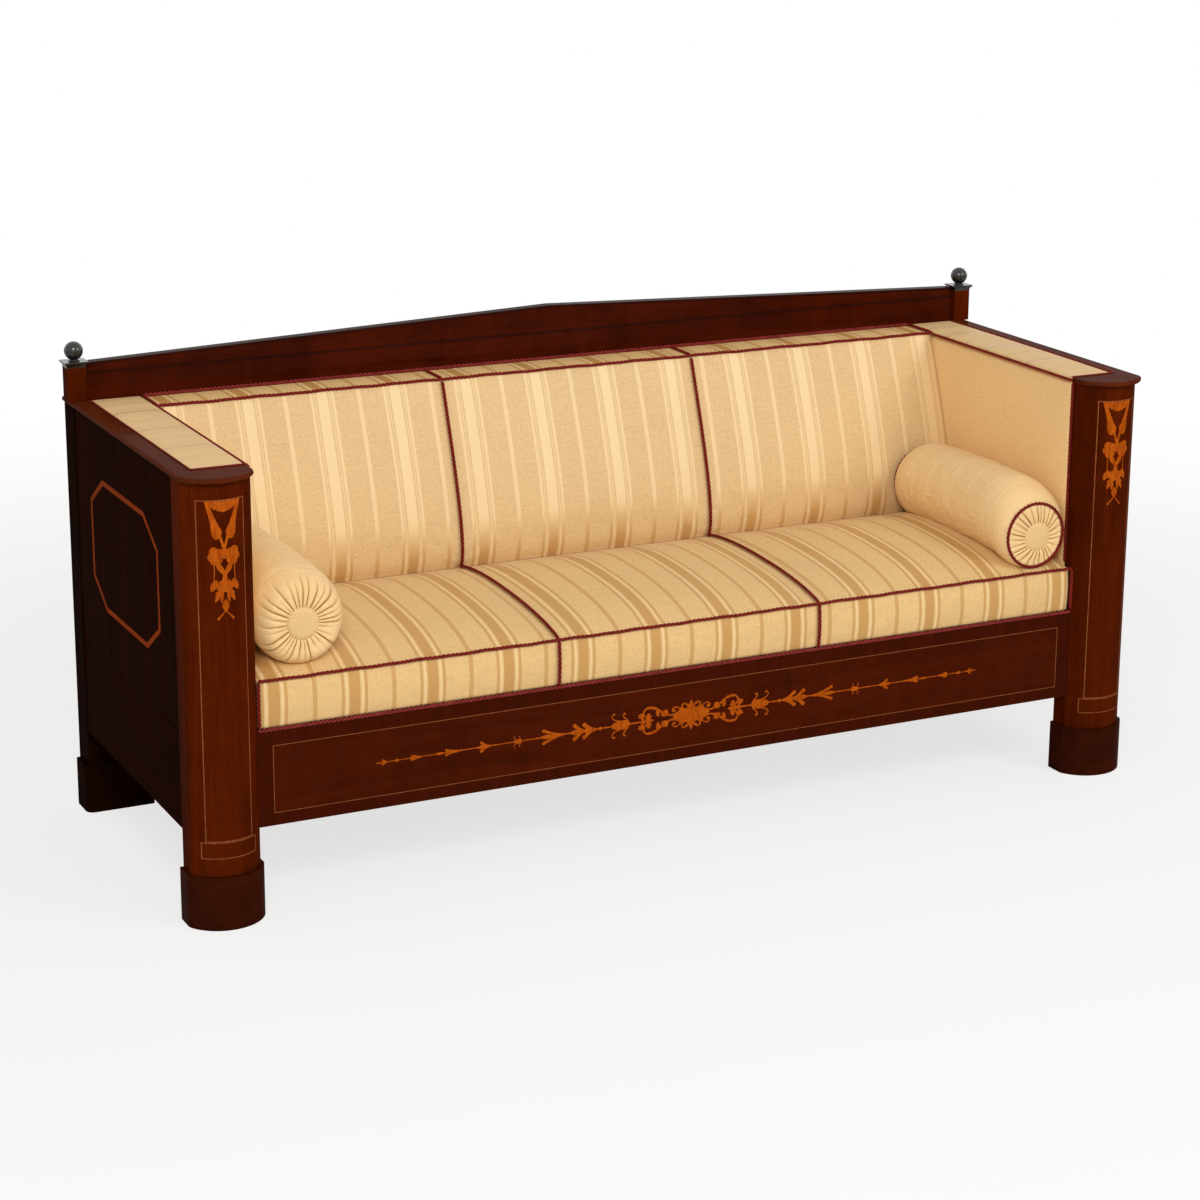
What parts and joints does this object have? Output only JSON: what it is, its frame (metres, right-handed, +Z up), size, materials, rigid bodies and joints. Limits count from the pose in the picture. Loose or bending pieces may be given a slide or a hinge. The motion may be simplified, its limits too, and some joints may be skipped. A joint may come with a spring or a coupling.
{
  "type": "box sofa",
  "caption": "Box sofa with bow-fronted pillars on plinth feet, a low gabled crest, striped upholstery with corded seams, and loose bolsters that lift off.",
  "frame": {"origin": "on the floor under the middle of the sofa's box", "axes": "+X along the sofa, to the right as seen from its front; +Y from the front towards the back; +Z up"},
  "size_m": [2.1, 0.7729, 0.9745],
  "materials": {
    "mahogany_veneer": "French polished, glossy",
    "plinth_mahogany": "French polished, glossy, darker",
    "ebonised_wood": "black polish, glossy",
    "marquetry": "satinwood and maple inlay under polish",
    "beech_frame": "planed, unfinished",
    "striped_silk": "woven satin stripes on a fine rib, silky sheen",
    "twisted_cord": "twisted rayon cord",
    "braid": "flat woven braid",
    "jute_webbing": "woven jute",
    "back_cloth": "plain weave, stretched"
  },
  "bodies": {
    "root": {"pillar_left": "mahogany_veneer", "pillar_right": "mahogany_veneer", "plinth_front_left": "plinth_mahogany", "plinth_front_right": "plinth_mahogany", "rear_leg_left": "mahogany_veneer", "rear_leg_right": "mahogany_veneer", "plinth_rear_left": "plinth_mahogany", "plinth_rear_right": "plinth_mahogany", "front_rail": "mahogany_veneer", "rear_rail": "beech_frame", "side_rail_left": "mahogany_veneer", "side_rail_right": "mahogany_veneer", "side_panel_left": "mahogany_veneer", "side_panel_right": "mahogany_veneer", "seat_bearers": "beech_frame", "cross_rails": "beech_frame", "corner_blocks": "beech_frame", "arm_top_rail_left": "beech_frame", "arm_top_rail_right": "beech_frame", "arm_stuffing_rails": "beech_frame", "arm_cap_left": "mahogany_veneer", "arm_cap_right": "mahogany_veneer", "back_deck_rail": "mahogany_veneer", "back_stuffing_rail": "beech_frame", "back_stiles": "beech_frame", "outside_back": "back_cloth", "crest_rail": "mahogany_veneer", "crest_bead": "plinth_mahogany", "crest_gable": "mahogany_veneer", "crest_capping": "plinth_mahogany", "post_left": "mahogany_veneer", "post_right": "mahogany_veneer", "post_cap_left": "ebonised_wood", "post_cap_right": "ebonised_wood", "finial_left": "ebonised_wood", "finial_right": "ebonised_wood", "seat_webbing_cross": "jute_webbing", "seat_webbing_long": "jute_webbing", "back_webbing": "jute_webbing", "arm_webbing": "jute_webbing", "seat_left": "striped_silk", "seat_middle": "striped_silk", "seat_right": "striped_silk", "back_left": "striped_silk", "back_middle": "striped_silk", "back_right": "striped_silk", "back_top_pads": "striped_silk", "arm_upholstery_left": "striped_silk", "arm_upholstery_right": "striped_silk", "arm_top_pad_left": "striped_silk", "arm_top_pad_right": "striped_silk", "seat_cords": "twisted_cord", "back_cords": "twisted_cord", "arm_cords": "twisted_cord", "braid": "braid"},
    "bolster_left": {"bolster_left": "striped_silk", "bolster_left_buttons": "striped_silk"},
    "bolster_right": {"bolster_right": "striped_silk", "bolster_right_buttons": "striped_silk", "bolster_right_cords": "twisted_cord"}
  },
  "joints": [
    {"name": "bolster_left_lift", "type": "slide", "parent": "root", "child": "bolster_left", "axis": [0, 0, 1], "range_m": [0, 0.5]},
    {"name": "bolster_right_lift", "type": "slide", "parent": "root", "child": "bolster_right", "axis": [0, 0, 1], "range_m": [0, 0.5]}
  ]
}
